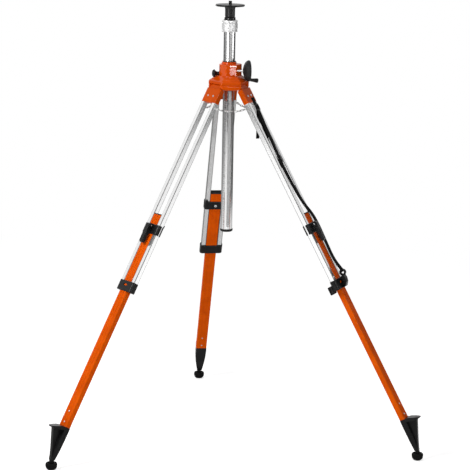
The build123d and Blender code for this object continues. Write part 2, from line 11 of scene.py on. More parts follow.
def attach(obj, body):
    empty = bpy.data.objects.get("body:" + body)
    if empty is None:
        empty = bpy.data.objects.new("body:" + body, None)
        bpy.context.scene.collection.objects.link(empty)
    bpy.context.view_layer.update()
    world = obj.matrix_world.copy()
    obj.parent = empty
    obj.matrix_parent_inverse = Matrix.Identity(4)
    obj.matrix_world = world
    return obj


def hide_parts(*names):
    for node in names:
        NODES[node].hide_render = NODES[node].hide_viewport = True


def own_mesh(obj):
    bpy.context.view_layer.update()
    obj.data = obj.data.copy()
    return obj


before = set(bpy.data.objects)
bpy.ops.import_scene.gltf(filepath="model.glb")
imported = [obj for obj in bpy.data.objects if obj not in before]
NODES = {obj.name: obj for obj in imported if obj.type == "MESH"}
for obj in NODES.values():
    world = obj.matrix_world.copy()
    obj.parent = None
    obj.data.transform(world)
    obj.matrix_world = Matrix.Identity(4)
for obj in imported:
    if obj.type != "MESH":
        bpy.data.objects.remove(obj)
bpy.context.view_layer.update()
MM = 0.001

# Sizes of the real pieces in mm, as in the part's source; on a leg h is out from it, t across, s down from its pin
LEGS = {"back": 90.0, "left": 210.0, "right": 330.0}
LEG_TILT = math.radians(29.32)
PIN_REACH, PIN_HEIGHT = 60.0, 1556.4
COLUMN_RADIUS = 25.0
CRANK_Y, CRANK_Z = -34.6, 1621.0
GRIP_X, GRIP_DROP, GRIP_SPLAY = 84.0, 38.0, math.radians(6)
KNOB_Z = 1607.0
BOOT_REACH = 901.0
STUD_RADIUS = 15.875 / 2
THREAD_FOOT, THREAD_TOP, THREAD_PITCH, THREAD_DEPTH = 1902.0, 1915.0, 25.4 / 11, 1.1
THREAD_BAND, THREAD_FADE, THREAD_ROUNDNESS = (1902.6, 1915.4), 0.8, 1.3
COLLAR_RADIUS, KNURL_FOOT, KNURL_TOP = 33.5, 1795.0, 1821.0
KNURL_BAND, KNURL_FADE = (1795.2, 1820.8), 1.2
KNURL_COUNT, KNURL_PITCH, KNURL_DEPTH = 66, 3.0, 0.35
TUBE_MIDDLE_T = 37.0
SHOULDER_SCREW_H, SHOULDER_SCREW_T, SHOULDER_SCREW_S = 12.4, 17.5, 52.6
CLAMP_SCREW_H, CLAMP_SCREW_S = -17.6, 678.0
LEVER_PIN_H, LEVER_PIN_S = 27.0, 668.0
RIVET_H, RIVETS_S = 12.0, (1516.0, 1564.0)
CLIP_H, CLIP_T, CLIP_S = -8.0, 53.0, 100.0

# Limits of mesh building: degrees between faces, and merging distances in metres
SHARP_EDGE = 40.0
SOLID_SHARP_EDGE, BEVEL_EDGE, FLAT_EDGE = 30.0, 38.0, 0.5
MERGE_GRID, MERGE_SOLID = 1e-7, 1e-6
BEVEL_STEPS = 3


def unit(v):
    """A vector or an array of vectors at length one."""
    v = np.asarray(v, float)
    return v / np.linalg.norm(v, axis=-1, keepdims=True)


def leg_axes(name):
    """The hinge pin and the directions out from, across and down a leg."""
    a = math.radians(LEGS[name])
    radial = np.array([math.cos(a), math.sin(a), 0.0])
    across = np.array([-math.sin(a), math.cos(a), 0.0])
    up = np.array([0.0, 0.0, 1.0])
    out = radial * math.cos(LEG_TILT) + up * math.sin(LEG_TILT)
    along = radial * math.sin(LEG_TILT) - up * math.cos(LEG_TILT)
    return radial * PIN_REACH + up * PIN_HEIGHT, out, across, along


def leg_points(name, points):
    """Leg coordinates (h, t, s) in mm as points of the whole tripod in mm."""
    pin, out, across, along = leg_axes(name)
    p = np.asarray(points, float)
    return pin + p[..., 0:1] * out + p[..., 1:2] * across + p[..., 2:3] * along


def leg_mapping(name):
    """Rotation and shift that carry points of the tripod into a leg's own (h, t, -s), in metres."""
    pin, out, across, along = leg_axes(name)
    turn = np.array([out, across, -along])
    return Matrix(turn).to_euler(), -(turn @ pin) * MM


# Meshes from arrays


def grid_faces(count_u, count_v, wrap_u, wrap_v):
    """Quads between neighbours of a count_u by count_v grid, joined round where a direction wraps."""
    u = np.arange(count_u if wrap_u else count_u - 1)
    v = np.arange(count_v if wrap_v else count_v - 1)
    u, v = np.meshgrid(u, v, indexing="ij")
    un, vn = (u + 1) % count_u, (v + 1) % count_v
    quads = np.stack([u * count_v + v, un * count_v + v, un * count_v + vn, u * count_v + vn], axis=-1)
    return quads.reshape(-1, 4)


def linked_object(name, data):
    """An object of the scene that holds a mesh, curve, lamp or camera."""
    obj = bpy.data.objects.new(name, data)
    bpy.context.scene.collection.objects.link(obj)
    return obj


def mesh_object(name, points, faces, uv=None, sharp=SHARP_EDGE):
    """An object from a vertex array in mm and a quad array, smooth but for edges past the sharp angle."""
    mesh = bpy.data.meshes.new(name)
    points = np.asarray(points, float).reshape(-1, 3) * MM
    faces = np.asarray(faces, np.int32)
    mesh.vertices.add(len(points))
    mesh.vertices.foreach_set("co", points.astype(np.float32).ravel())
    mesh.loops.add(faces.size)
    mesh.loops.foreach_set("vertex_index", faces.ravel())
    mesh.polygons.add(len(faces))
    mesh.polygons.foreach_set("loop_start", np.arange(0, faces.size, faces.shape[1], dtype=np.int32))
    mesh.polygons.foreach_set("use_smooth", np.ones(len(faces), bool))
    mesh.update(calc_edges=True)
    if uv is not None:
        layer = mesh.uv_layers.new(name="UVMap")
        layer.data.foreach_set("uv", np.asarray(uv, np.float32)[faces.ravel()].ravel())
    shell = bmesh.new()
    shell.from_mesh(mesh)
    bmesh.ops.remove_doubles(shell, verts=shell.verts, dist=MERGE_GRID)
    bmesh.ops.recalc_face_normals(shell, faces=shell.faces)
    shell.to_mesh(mesh)
    shell.free()
    mesh.set_sharp_from_angle(angle=math.radians(sharp))
    return linked_object(name, mesh)


def surfaces(name, grids, wrap_u=False, wrap_v=False, sharp=SHARP_EDGE):
    """One object from several grids of points, each an array of (u, v, xyz) in mm."""
    points, faces, start = [], [], 0
    for grid in grids:
        points.append(grid.reshape(-1, 3))
        faces.append(grid_faces(grid.shape[0], grid.shape[1], wrap_u, wrap_v) + start)
        start += len(points[-1])
    return mesh_object(name, np.concatenate(points), np.concatenate(faces), sharp=sharp)


def softened_outline(outline, rounding, steps=5, most=0.45):
    """Each inner corner of an open outline becomes a parabola between a point on each of its two runs.

    These points are the rounding away from the corner, or the most that is allowed of the shorter run.
    """
    p = np.asarray(outline, float)
    before, after = p[:-2] - p[1:-1], p[2:] - p[1:-1]
    near = np.linalg.norm(before, axis=1, keepdims=True)
    far = np.linalg.norm(after, axis=1, keepdims=True)
    cut = np.minimum(rounding, most * np.minimum(near, far))
    a, c = p[1:-1] + before / near * cut, p[1:-1] + after / far * cut
    w = np.linspace(0, 1, steps)[None, :, None]
    curve = (1 - w) ** 2 * a[:, None] + 2 * w * (1 - w) * p[1:-1, None] + w ** 2 * c[:, None]
    return np.concatenate([p[:1], curve.reshape(-1, 2), p[-1:]])


def square_to(axis, guide, near=0.9):
    """Two directions square to an axis and to each other.

    The first is square to world axis number guide too, or to X where the axis lies near that guide.
    """
    side = unit(np.cross(axis, np.eye(3)[guide if abs(axis[guide]) < near else 0]))
    return side, np.cross(axis, side)


def lathe(outline, origin=(0, 0, 0), axis=(0, 0, 1), segments=96, swell=None):
    """Turns (radius, height) points about an axis; swell(angle, height) may add to the radius."""
    axis = unit(axis)
    side, other = square_to(axis, 1)
    profile = np.asarray(outline, float)
    angle = np.linspace(0, 2 * np.pi, segments, endpoint=False)[:, None]
    radius = np.broadcast_to(profile[None, :, 0], (segments, len(profile)))
    if swell is not None:
        radius = radius + swell(angle, profile[None, :, 1])
    spin = np.cos(angle)[..., None] * side + np.sin(angle)[..., None] * other
    return np.asarray(origin, float) + radius[..., None] * spin + profile[None, :, 1, None] * axis


def turned_piece(name, outline, rounding, **where):
    """A turned object whose corners are rounded by up to the given mm."""
    return surfaces(name, [lathe(softened_outline(outline, rounding), **where)], wrap_u=True)


def triangle_wave(x):
    """A wave from 0 to 1 and back once in each unit of x."""
    return 1 - 2 * np.abs(x - np.floor(x) - 0.5)


def faded_band(height, low, high, fade):
    """One between two heights, falling to zero in a straight line over the fade at both ends."""
    return np.clip((height - low) / fade, 0, 1) * np.clip((high - height) / fade, 0, 1)


def swept(path, half_width, half_thick, wide, roundness=6):
    """A flat band with round edges carried along a path; wide is the direction across it at each point."""
    path = np.asarray(path, float)
    forward = unit(np.gradient(path, axis=0))
    wide = unit(wide - forward * np.sum(wide * forward, axis=1, keepdims=True))
    thick = np.cross(forward, wide)
    turn = np.linspace(0, np.pi, roundness)
    edge = np.stack([np.sin(turn) * half_thick + half_width - half_thick, np.cos(turn) * half_thick], axis=1)
    ring = np.concatenate([edge, -edge])
    return path[:, None] + ring[None, :, :1] * wide[:, None] + ring[None, :, 1:] * thick[:, None]


def tube_along(path, radius, sides=10, guide=(0.31, 0.17, 0.94)):
    """A round tube round a closed path of points, its rings square to the path and started square to a guide."""
    forward = unit(np.roll(path, -1, axis=-2) - np.roll(path, 1, axis=-2))
    side = unit(np.cross(forward, np.broadcast_to(guide, forward.shape)))
    other = np.cross(forward, side)
    turn = np.linspace(0, 2 * np.pi, sides, endpoint=False)[:, None]
    return path[..., None, :] + radius * (np.cos(turn) * side[..., None, :] + np.sin(turn) * other[..., None, :])


# Shader groups

# Noise scales per metre, and bump depths in metres
PAINT_PATCHES, PLASTIC_PATCHES, ORANGE_PEEL = 14.0, 22.0, 420.0
PEEL_DEPTH, GRAIN_DEPTH, WEAVE_DEPTH, PLATE_DEPTH, LINE_DEPTH = 0.0006, 0.0005, 0.0005, 0.0003, 0.0002

# Distance of the leg tubes' painted shade lines on their rounded corners from a tube's middle, in metres, with their
# grey and roughness
CORNER_START, CORNER_FULL = 0.0078, 0.0088
CORNER_SHADE_GREY, CORNER_ROUGH = 0.2, 0.65


def fill(tree, node, **values):
    """Sets a node's properties and inputs, linking those that are given a socket; input names use _ for spaces."""
    for key, value in values.items():
        label = key.replace("_", " ")
        if label not in node.inputs:
            setattr(node, key, value)
        elif isinstance(value, bpy.types.NodeSocket):
            tree.links.new(value, node.inputs[label])
        else:
            node.inputs[label].default_value = value
    return node


def add(tree, kind, **values):
    """A new node of a kind, filled with its values."""
    return fill(tree, tree.nodes.new(kind), **values)


def calculated(tree, operation, *terms):
    """The result of a Math node whose terms are sockets or plain numbers."""
    node = add(tree, "ShaderNodeMath", operation=operation)
    for place, term in zip(node.inputs, terms):
        if isinstance(term, bpy.types.NodeSocket):
            tree.links.new(term, place)
        else:
            place.default_value = term
    return node.outputs["Value"]


def new_group(name, inputs, outputs):
    """An empty shader group with named sockets: its tree, the sockets that it is given and its result node."""
    tree = bpy.data.node_groups.new(name, "ShaderNodeTree")
    for label, kind, value in inputs:
        socket = tree.interface.new_socket(label, in_out="INPUT", socket_type=kind)
        if value is not None:
            socket.default_value = value
    for label, kind in outputs:
        tree.interface.new_socket(label, in_out="OUTPUT", socket_type=kind)
    return tree, tree.nodes.new("NodeGroupInput").outputs, tree.nodes.new("NodeGroupOutput")


def patchy_group():
    """Two colours mixed by broad noise, and a finer noise for gloss."""
    tree, given, result = new_group(
        "patchy_finish",
        [("Vector", "NodeSocketVector", None), ("Size", "NodeSocketFloat", 20.0),
         ("Deep", "NodeSocketColor", None), ("Pale", "NodeSocketColor", None),
         ("Gloss Low", "NodeSocketFloat", 0.3), ("Gloss High", "NodeSocketFloat", 0.4)],
        [("Colour", "NodeSocketColor"), ("Roughness", "NodeSocketFloat"), ("Mask", "NodeSocketFloat")])
    broad = add(tree, "ShaderNodeTexNoise", Vector=given["Vector"], Scale=given["Size"], Detail=4.0, Roughness=0.6)
    fine = add(tree, "ShaderNodeTexNoise", Vector=given["Vector"], Scale=180.0, Detail=3.0)
    spread = add(tree, "ShaderNodeMapRange", Value=broad.outputs["Fac"], From_Min=0.35, From_Max=0.65)
    mask = spread.outputs["Result"]
    mix = add(tree, "ShaderNodeMix", data_type="RGBA", Factor=mask, A=given["Deep"], B=given["Pale"])
    gloss = add(tree, "ShaderNodeMapRange", Value=fine.outputs["Fac"], From_Min=0.3, From_Max=0.7,
                To_Min=given["Gloss Low"], To_Max=given["Gloss High"])
    fill(tree, result, Colour=mix.outputs["Result"], Roughness=gloss.outputs["Result"], Mask=mask)
    return tree


def drawn_lines_group():
    """Fine lines along Z of the given vector, as left by drawing or brushing metal."""
    tree, given, result = new_group(
        "drawn_lines", [("Vector", "NodeSocketVector", None), ("Density", "NodeSocketFloat", 900.0)],
        [("Lines", "NodeSocketFloat"), ("Bands", "NodeSocketFloat")])
    squeeze = add(tree, "ShaderNodeMapping", Vector=given["Vector"], Scale=(1.0, 1.0, 0.012))
    long_way = squeeze.outputs["Vector"]
    lines = add(tree, "ShaderNodeTexNoise", Vector=long_way, Scale=given["Density"], Detail=2.0)
    bands = add(tree, "ShaderNodeTexNoise", Vector=long_way, Scale=70.0, Detail=1.0)
    fill(tree, result, Lines=lines.outputs["Fac"], Bands=bands.outputs["Fac"])
    return tree


def moulded_grain_group():
    """The fine pebbled skin of moulded plastic or rubber."""
    tree, given, result = new_group(
        "moulded_grain", [("Vector", "NodeSocketVector", None), ("Size", "NodeSocketFloat", 900.0)],
        [("Height", "NodeSocketFloat")])
    cells = add(tree, "ShaderNodeTexVoronoi", feature="SMOOTH_F1", Vector=given["Vector"], Scale=given["Size"],
                Smoothness=0.8)
    fill(tree, result, Height=cells.outputs["Distance"])
    return tree


def tube_corner_shade_group():
    """One on the rounded corners of the twin square tubes, from (h, t) distances to a tube's middle; painted shade
    goes there.
    """
    tree, given, result = new_group(
        "tube_corner_shade", [("Vector", "NodeSocketVector", None)], [("Mask", "NodeSocketFloat")])
    split = add(tree, "ShaderNodeSeparateXYZ", Vector=given["Vector"])
    side = calculated(tree, "ABSOLUTE", split.outputs["Y"])
    across = calculated(tree, "ABSOLUTE", calculated(tree, "SUBTRACT", side, TUBE_MIDDLE_T * MM))
    deep = calculated(tree, "ABSOLUTE", split.outputs["X"])
    edge = add(tree, "ShaderNodeMapRange", interpolation_type="SMOOTHSTEP", From_Min=CORNER_START,
               From_Max=CORNER_FULL, Value=calculated(tree, "MINIMUM", across, deep))
    fill(tree, result, Mask=edge.outputs["Result"])
    return tree


PATCHY, DRAWN, GRAIN, CORNER_SHADE = patchy_group(), drawn_lines_group(), moulded_grain_group(), tube_corner_shade_group()


# Materials; rough is the lowest and highest roughness, deep and pale are the two colours that mix


def grey(value, blue=1.0):
    """A neutral colour with a slight blue share."""
    return (value, value, value * blue, 1.0)


def node_material(name):
    """A new material and its node tree."""
    material = bpy.data.materials.new(name)
    material.use_nodes = True
    return material, material.node_tree


def start_material(name, **shader):
    """A material with its Principled shader filled, and its tree, that shader and the places on the surface."""
    material, tree = node_material(name)
    bsdf = fill(tree, tree.nodes["Principled BSDF"], **shader)
    return material, tree, bsdf, add(tree, "ShaderNodeTexCoord").outputs


def place_group(tree, group, **values):
    """The outputs of a group node that is filled with values."""
    return add(tree, "ShaderNodeGroup", node_tree=group, **values).outputs


def bump_from(tree, bsdf, height, strength, depth):
    """Feeds a height into the shader's normal."""
    bump = add(tree, "ShaderNodeBump", Height=height, Strength=strength, Distance=depth)
    fill(tree, bsdf, Normal=bump.outputs["Normal"])


def patchy_skin(tree, bsdf, vector, size, deep, pale, rough):
    """Feeds patchy colour and roughness into the shader, and gives the patches' mask."""
    patchy = place_group(tree, PATCHY, Vector=vector, Size=size, Deep=deep, Pale=pale, Gloss_Low=rough[0],
                         Gloss_High=rough[1])
    fill(tree, bsdf, Base_Color=patchy["Colour"], Roughness=patchy["Roughness"])
    return patchy["Mask"]


def painted(name, deep, pale, rough, coat, ripple=0.06, coat_index=1.5):
    """Sprayed paint: patchy colour with a faint orange-peel ripple under a clear coat."""
    material, tree, bsdf, places = start_material(name, Specular_IOR_Level=0.01, Coat_Weight=coat,
                                                  Coat_Roughness=0.08, Coat_IOR=coat_index)
    patchy_skin(tree, bsdf, places["Object"], PAINT_PATCHES, deep, pale, rough)
    peel = place_group(tree, GRAIN, Vector=places["Object"], Size=ORANGE_PEEL)
    bump_from(tree, bsdf, peel["Height"], ripple, PEEL_DEPTH)
    return material


def moulded(name, deep, pale, rough, grain, strength, shine=0.1):
    """Moulded plastic or rubber with a fine pebbled skin."""
    material, tree, bsdf, places = start_material(name, Specular_IOR_Level=shine)
    patchy_skin(tree, bsdf, places["Object"], PLASTIC_PATCHES, deep, pale, rough)
    pebbles = place_group(tree, GRAIN, Vector=places["Object"], Size=grain)
    bump_from(tree, bsdf, pebbles["Height"], strength, GRAIN_DEPTH)
    return material


def drawn_metal(name, deep, pale, rough, metallic=1.0, leg=None):
    """Metal with drawing lines along its own length, and on a leg dull lines of painted shade along the tubes'
    corners.
    """
    material, tree, bsdf, places = start_material(name, Metallic=metallic)
    vector = places["Object"]
    if leg:
        turn, shift = leg_mapping(leg)
        vector = add(tree, "ShaderNodeMapping", Vector=vector, Rotation=turn, Location=shift).outputs["Vector"]
    lines = place_group(tree, DRAWN, Vector=vector)
    tone = add(tree, "ShaderNodeMix", data_type="RGBA", Factor=lines["Bands"], A=deep, B=pale)
    dull = add(tree, "ShaderNodeMapRange", Value=lines["Lines"], From_Min=0.3, From_Max=0.7, To_Min=rough[0],
               To_Max=rough[1])
    if leg:
        # painted shade: the tubes' rounded corners turn dark grey and dull
        corners = place_group(tree, CORNER_SHADE, Vector=vector)["Mask"]
        tone = add(tree, "ShaderNodeMix", data_type="RGBA", Factor=corners, A=tone.outputs["Result"],
                   B=grey(CORNER_SHADE_GREY))
        dull = add(tree, "ShaderNodeMix", Factor=corners, A=dull.outputs["Result"], B=CORNER_ROUGH)
    fill(tree, bsdf, Base_Color=tone.outputs["Result"], Roughness=dull.outputs["Result"])
    bump_from(tree, bsdf, lines["Lines"], strength=0.006, depth=LINE_DEPTH)
    return material


def glint_patched_wire(name, deep, pale, rough, size):
    """Wire with near-black and bright patches about as large as a chain link: painted dark reflections and painted
    glints.
    """
    material, tree, bsdf, places = start_material(name, Metallic=1.0)
    patches = patchy_skin(tree, bsdf, places["Object"], size, deep, pale, rough)
    bump_from(tree, bsdf, patches, strength=0.05, depth=PLATE_DEPTH)
    return material


def woven(name, deep, pale):
    """Woven webbing: two crossing thread waves in UV make the bump and tint."""
    material, tree, bsdf, places = start_material(name, Roughness=0.8, Specular_IOR_Level=0.08)
    warp, weft = (add(tree, "ShaderNodeTexWave", wave_type="BANDS", bands_direction=direction, Vector=places["UV"],
                      Scale=threads, Distortion=0.6) for direction, threads in (("X", 420.0), ("Y", 260.0)))
    cross = calculated(tree, "MULTIPLY", warp.outputs["Fac"], weft.outputs["Fac"])
    tint = add(tree, "ShaderNodeMix", data_type="RGBA", Factor=cross, A=deep, B=pale)
    fill(tree, bsdf, Base_Color=tint.outputs["Result"])
    bump_from(tree, bsdf, cross, strength=0.4, depth=WEAVE_DEPTH)
    return material


ORANGE = painted("orange_enamel", deep=(0.74, 0.09, 0.0006, 1), pale=(0.88, 0.118, 0.001, 1), rough=(0.3, 0.42),
                 coat=0.05)
HOUSING_ORANGE = painted("orange_enamel_cast", deep=(0.64, 0.07, 0.0006, 1), pale=(0.78, 0.092, 0.001, 1),
                         rough=(0.3, 0.42), coat=0.5)
GLOSSY_ORANGE = painted("orange_enamel_polished", deep=(0.66, 0.07, 0.0006, 1), pale=(0.74, 0.082, 0.001, 1),
                        rough=(0.2, 0.3), coat=0.9, ripple=0.006, coat_index=2.0)
SHOULDER_ORANGE = painted("orange_enamel_shoulder", deep=(0.56, 0.066, 0.0006, 1), pale=(0.7, 0.088, 0.001, 1),
                          rough=(0.3, 0.42), coat=0.15)
BLACK = moulded("black_moulding", deep=grey(0.003), pale=grey(0.008, 1.04), rough=(0.28, 0.4), grain=1100.0,
                strength=0.1, shine=0.2)
HEAD_BLACK = moulded("head_moulding", deep=grey(0.005), pale=grey(0.012), rough=(0.25, 0.36), grain=1100.0,
                     strength=0.1, shine=0.4)
GRIPPY = moulded("wheel_moulding", deep=grey(0.012), pale=grey(0.035), rough=(0.5, 0.65), grain=520.0, strength=0.6)
SOFT_BLACK = moulded("black_rubber_skin", deep=grey(0.005), pale=grey(0.01), rough=(0.6, 0.75), grain=700.0,
                     strength=0.2, shine=0.06)
COLUMN_METAL = drawn_metal("column_aluminium", deep=grey(0.58), pale=grey(0.78), rough=(0.1, 0.15), metallic=0.92)
LEG_METAL = {name: drawn_metal("tube_aluminium_" + name, deep=grey(0.8), pale=grey(0.87), rough=(0.1, 0.14),
                               metallic=0.8, leg=name) for name in LEGS}
COLLAR_METAL = drawn_metal("collar_aluminium", deep=grey(0.72), pale=grey(0.8), rough=(0.36, 0.44), metallic=0.7)
ZINC = drawn_metal("zinc_plate", deep=grey(0.45), pale=grey(0.62), rough=(0.26, 0.4))
# The chain's near-black and bright patches are painted reflections and glints.
CHAIN_STEEL = glint_patched_wire("chain_steel", deep=grey(0.015), pale=grey(0.8), rough=(0.2, 0.35), size=75.0)
RACK_STEEL = drawn_metal("rack_steel", deep=grey(0.46), pale=grey(0.54), rough=(0.42, 0.5))
DARK_RING = drawn_metal("black_chrome", deep=grey(0.03), pale=grey(0.06), rough=(0.12, 0.22))
BRONZE = drawn_metal("brake_bronze", deep=(0.4, 0.26, 0.1, 1), pale=(0.52, 0.36, 0.16, 1), rough=(0.3, 0.45))
INK = moulded("scale_ink", deep=grey(0.02), pale=grey(0.05), rough=(0.4, 0.5), grain=900.0, strength=0.02)
WEBBING = woven("black_webbing", deep=grey(0.004), pale=grey(0.014))


def finish_piece(obj, material, body, slot, *nodes):
    """Gives a new piece its material and body, and hides the nodes that it stands for; the record slot is not used.
    """
    obj.data.materials.clear()
    obj.data.materials.append(material)
    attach(obj, body)
    if nodes:
        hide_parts(*nodes)
    return obj


def dress(material, *names):
    """Puts a material on CAD nodes that stay."""
    for name in names:
        data = NODES[name].data
        data.materials.clear()
        data.materials.append(material)


# CAD nodes that keep their shape
dress(COLUMN_METAL, "inner_column", "column_tube")
dress(RACK_STEEL, "column_rack", "drive_pinion")
dress(ZINC, "hinge_bolts", "crank_shaft", "grip_bolt")
dress(BRONZE, "brake_shoe")
dress(BLACK, "bearing_bushes")
for name in LEGS:
    dress(LEG_METAL[name], "leg_tubes_" + name)
    dress(ORANGE, "inner_leg_" + name)


def softened(node, material, body, slot, width):
    """A copy of a CAD solid with its sharp edges rounded; width is the bevel's in mm."""
    source = NODES[node]
    shell = bmesh.new()
    shell.from_mesh(source.data)
    shell.transform(source.matrix_world)
    bmesh.ops.remove_doubles(shell, verts=shell.verts, dist=MERGE_SOLID)
    bmesh.ops.dissolve_limit(shell, angle_limit=math.radians(FLAT_EDGE), verts=shell.verts, edges=shell.edges)
    mesh = bpy.data.meshes.new(node + "_soft")
    shell.to_mesh(mesh)
    shell.free()
    mesh.polygons.foreach_set("use_smooth", np.ones(len(mesh.polygons), bool))
    mesh.set_sharp_from_angle(angle=math.radians(SOLID_SHARP_EDGE))
    obj = linked_object(node + "_soft", mesh)
    bevel = obj.modifiers.new("soft_edges", "BEVEL")
    bevel.width = width * MM
    bevel.segments = BEVEL_STEPS
    bevel.limit_method = "ANGLE"
    bevel.angle_limit = math.radians(BEVEL_EDGE)
    bevel.harden_normals = True
    return finish_piece(obj, material, body, slot, node)


# Bevel widths in mm of the strap's fittings, and of each leg's black pieces after the body they ride
STRAP_FITTINGS = {"strap_buckle": 0.5, "strap_ring": 0.7, "strap_keeper": 0.9}
LEG_MOULDINGS = {"clamp_outer_": ("leg_", 0.8), "clamp_inner_": ("leg_", 0.8), "clamp_lever_": ("lever_", 0.9),
                 "leg_guide_": ("leg_", 0.9), "leg_plug_": ("shank_", 0.6), "foot_": ("shank_", 1.4)}

softened("head_plate", BLACK, "head", "black_plastic", width=0.8)
softened("gear_housing", HOUSING_ORANGE, "chassis", "orange_paint", width=1.6)
softened("pinion_cover", GLOSSY_ORANGE, "chassis", "orange_paint", width=0.5)
for piece, width in STRAP_FITTINGS.items():
    softened(piece, BLACK, "leg_right", "black_plastic", width)
for name in LEGS:
    softened("shoulder_" + name, SHOULDER_ORANGE, "leg_" + name, "orange_paint", width=1.2)
    for piece, (body, width) in LEG_MOULDINGS.items():
        softened(piece + name, BLACK, body + name, "black_plastic", width)

# Outlines of the turned pieces, (radius, height along the axis) in mm
SLEEVE = [(18.05, 1848), (20.5, 1848), (21.5, 1850), (21.5, 1882), (23.5, 1890), (23.5, 1893), (8.2, 1893),
          (8.2, 1885), (18.05, 1885), (18.05, 1848)]
RING = [(18.06, 1795), (22.4, 1795), (22.4, 1835), (24, 1835), (24, 1846), (22, 1848), (18.06, 1848), (18.06, 1795)]
STUD = ([(0, 1887), (7, 1887), (7, THREAD_FOOT)]
        + [(STUD_RADIUS, z) for z in np.linspace(THREAD_FOOT, THREAD_TOP, 80)]
        + [(6.4, 1916.5), (0, 1916.5)])
COLLAR = ([(25.06, 1785), (31.5, 1785), (33.2, 1786.2), (33.5, 1787), (33.5, 1790), (31, 1791), (31, 1794)]
          + [(COLLAR_RADIUS, z) for z in np.linspace(KNURL_FOOT, KNURL_TOP, 54)]
          + [(31, 1822), (31, 1825), (33.5, 1826), (33.5, 1833), (33.2, 1833.8), (31.5, 1835), (25.06, 1835),
             (25.06, 1785)])
CAP = [(0, 917), (22, 917), (26, 919), (27.5, 922), (27.5, 929), (22.4, 929), (22.4, 939), (19, 939), (19, 925),
       (0, 925)]
WHEEL = [(5.03, 55), (9.5, 55), (13, 56.3), (22, 59), (31, 62.5), (37, 66), (42, 71), (45, 76.5), (45.6, 80),
         (45, 83.5), (43, 85.8), (40, 86.8), (30, 87.3), (15, 88.6), (9, 89.2), (8, 88), (5.03, 88), (5.03, 55)]
GRIP = [(3.06, 4.2), (6.2, 4.2), (7, 6), (6.8, 10), (7.6, 18), (9.2, 28), (9.75, 33), (9, 36.5), (7, 38), (5.3, 38),
        (5.3, 34.9), (3.06, 34.9), (3.06, 4.2)]
KNOB = [(0, 31.3), (5, 31.3), (5, 43.3), (7.5, 43.3), (7, 49), (8.5, 55), (13, 60.5), (16.4, 62.5), (17, 64.5),
        (16.2, 67.5), (12.5, 71.5), (7, 73.2), (0, 73.5)]
BOOT = [(0, 0), (9, 0), (16, 2), (21.5, 8), (23.2, 11.8), (22.4, 12.6), (23.4, 13.4), (24.3, 16), (24.8, 19.4),
        (24, 20.2), (24.9, 21), (25, 23), (24, 28.5), (21, 32), (18.5, 31.5), (14.5, 27), (9.06, 26), (9.06, 12),
        (0, 12)]
LEVER_PIN = [(0, -16.5), (3, -16.5), (3, 16.5), (0, 16.5)]
CHAIN_PIN = [(0, 48), (1.5, 48), (1.5, 57.5), (3, 57.5), (3, 59), (0, 59)]
RIVET = [(0, 1.7), (2.2, 1.5), (3.6, 0.7), (4.0, -0.6), (0, -0.8)]


def stud_thread(angle, height):
    """Thread depth below the crest: a rounded V that climbs one pitch a turn between the neck and the chamfer."""
    turn = (height - THREAD_FOOT) / THREAD_PITCH - angle / (2 * np.pi)
    inside = faded_band(height, *THREAD_BAND, THREAD_FADE)
    return -THREAD_DEPTH * inside * triangle_wave(turn) ** THREAD_ROUNDNESS


def knurl(angle, height):
    """Diamond knurling on the collar's middle band: two crossed sets of grooves, fading at the band's ends."""
    band = faded_band(height, *KNURL_BAND, KNURL_FADE)
    turn, rise = KNURL_COUNT * angle / (2 * np.pi), height / KNURL_PITCH
    ridges = np.minimum(triangle_wave(turn + rise), triangle_wave(turn - rise))
    return -KNURL_DEPTH * band * (1 - ridges)


# Head and column
finish_piece(turned_piece("sleeve_skin", SLEEVE, rounding=0.7), HEAD_BLACK, "head", "black_plastic", "head_sleeve")
finish_piece(turned_piece("ring_skin", RING, rounding=0.6), DARK_RING, "column", "dark_metal", "column_top_ring")
finish_piece(surfaces("stud_thread", [lathe(STUD, segments=48, swell=stud_thread)], wrap_u=True),
             DARK_RING, "head", "zinc_steel", "instrument_screw")
finish_piece(surfaces("collar_knurl", [lathe(COLLAR, segments=8 * KNURL_COUNT, swell=knurl)], wrap_u=True, sharp=60),
             COLLAR_METAL, "collar", "bright_aluminium", "clamp_collar")
finish_piece(turned_piece("cap_skin", CAP, rounding=1.0), BLACK, "column", "black_plastic", "column_cap")

# Printed scale on the column: plain centimetres, read against the housing's top
SCALE_ZERO, SCALE_READINGS = 1660.0, range(130, 720, 10)
SCALE_TURN = math.atan2(-0.76, -0.65)
INK_PROUD = 0.03
TICK_LEFT, TICK_LONG, TICK_SHORT, TICK_HALF = -4.5, 9.0, 6.0, 0.6
FIGURE_LEFT, FIGURE_STEP, FIGURE_LIFT = -4.0, 4.6, 1.8
BAR_ACROSS, BAR_UP, BAR_HALF = 3.0, 2.4, 0.3
DIGIT_BARS = {"0": "abcdef", "1": "bc", "2": "abged", "3": "abgcd", "4": "fgbc", "5": "afgcd", "6": "afgedc",
              "7": "abc"}
BAR_ENDS = {"a": ((0, 2), (1, 2)), "b": ((1, 2), (1, 1)), "c": ((1, 1), (1, 0)), "d": ((0, 0), (1, 0)),
            "e": ((0, 1), (0, 0)), "f": ((0, 2), (0, 1)), "g": ((0, 1), (1, 1))}


def scale_patch(across, up, steps=5):
    """A thin printed patch on the column between two distances round it and two heights."""
    u, v = np.meshgrid(np.linspace(*across, steps), np.asarray(up, float), indexing="ij")
    turn = SCALE_TURN + u / COLUMN_RADIUS
    skin = COLUMN_RADIUS + INK_PROUD
    return np.stack([skin * np.cos(turn), skin * np.sin(turn), v], axis=-1)


